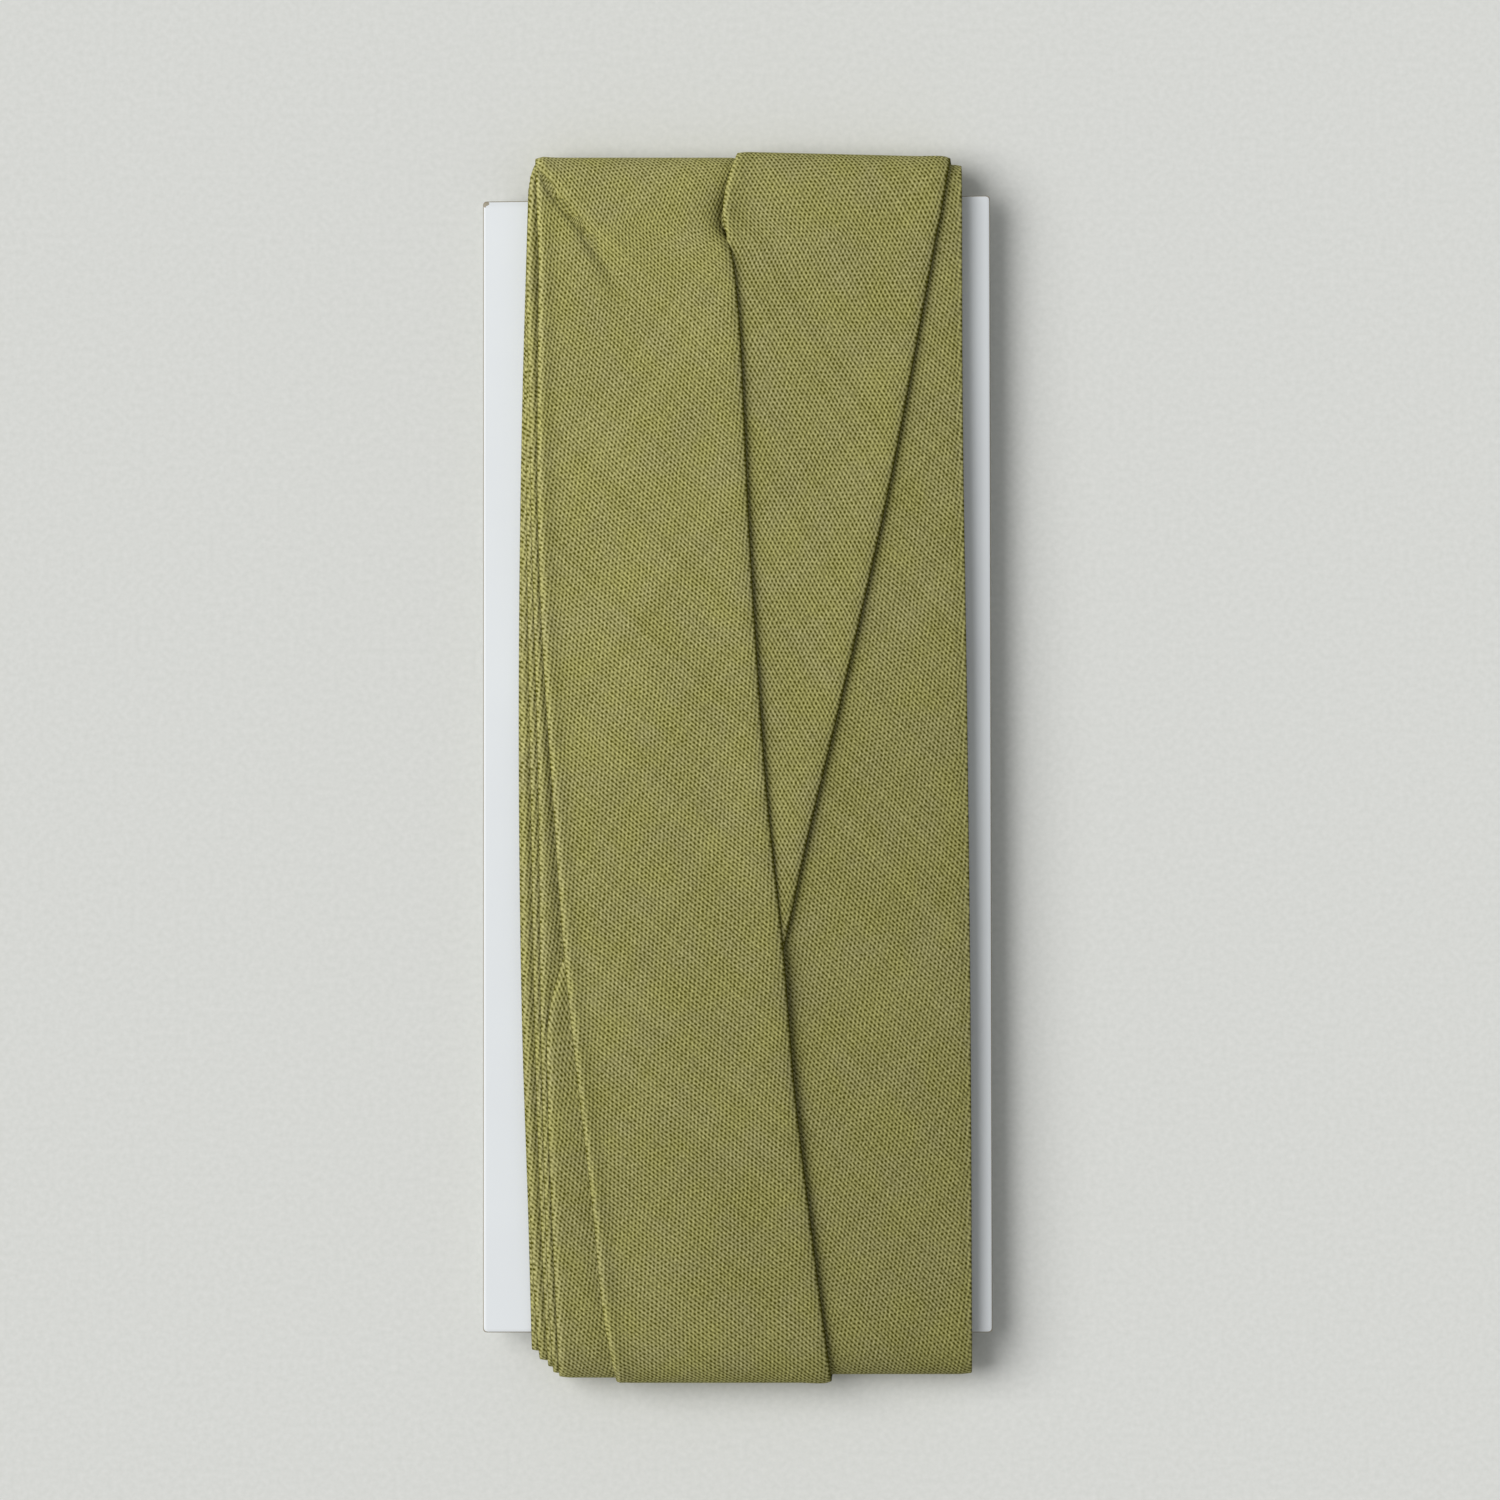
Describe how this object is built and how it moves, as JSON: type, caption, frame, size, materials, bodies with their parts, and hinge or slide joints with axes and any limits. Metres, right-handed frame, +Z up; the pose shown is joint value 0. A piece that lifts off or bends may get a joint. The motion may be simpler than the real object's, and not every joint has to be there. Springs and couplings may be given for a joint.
{
  "type": "bias binding wound on a card",
  "caption": "Wide bias binding tape in plain olive cotton, folded and wound flat in overlapping piles round a plain white card.",
  "frame": {"origin": "middle of the part's box, on the surface that its flat back lies on", "axes": "+Y along the card towards the end where the crossing turn laps over the last one, +X to the right across the card, +Z up out of the wound face"},
  "size_m": [0.0596, 0.1438, 0.0095],
  "materials": {
    "cotton_tape": "matte plain weave, cut on the bias",
    "card_board": "smooth white coated face"
  },
  "bodies": {
    "root": {"binding": "cotton_tape", "card": "card_board"}
  },
  "joints": []
}
